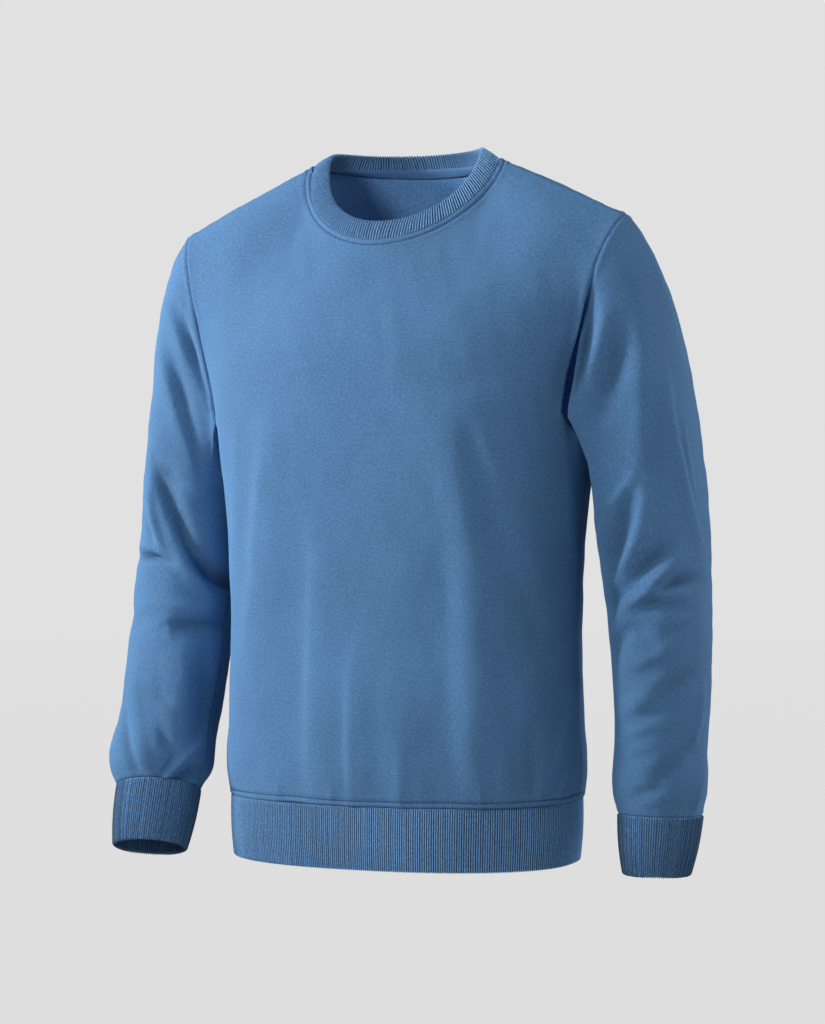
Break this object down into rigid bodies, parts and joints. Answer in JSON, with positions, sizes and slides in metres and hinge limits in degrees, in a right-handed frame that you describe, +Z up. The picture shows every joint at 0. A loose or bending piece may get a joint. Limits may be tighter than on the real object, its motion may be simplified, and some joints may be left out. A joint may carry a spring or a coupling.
{
  "type": "crewneck sweatshirt",
  "caption": "Brushed-fleece crewneck sweatshirt in its hollow worn form: set-in sleeves, ribbed neckband, hem and cuffs, all openings open.",
  "frame": {"origin": "centre of the neck, level with the high points of the shoulder seams, where the wearer holds the garment up", "axes": "+Z up; the garment faces -Y; +X is the wearer's left"},
  "size_m": [0.6143, 0.2335, 0.7053],
  "materials": {
    "front_panel": "brushed fleece-back jersey, matt, with a faint marl",
    "back_panel": "brushed fleece-back jersey, matt, with a faint marl",
    "sleeve_left": "brushed fleece-back jersey, matt, with a faint marl",
    "sleeve_right": "brushed fleece-back jersey, matt, with a faint marl",
    "neckband": "rib knit, matt",
    "hem_band": "rib knit, matt",
    "cuff_left": "rib knit, matt",
    "cuff_right": "rib knit, matt",
    "neck_tape": "woven cotton tape, matt"
  },
  "bodies": {
    "root": {"front_panel": "front_panel", "back_panel": "back_panel", "sleeve_left": "sleeve_left", "sleeve_right": "sleeve_right", "neckband": "neckband", "hem_band": "hem_band", "cuff_left": "cuff_left", "cuff_right": "cuff_right", "neck_tape": "neck_tape"}
  },
  "joints": []
}
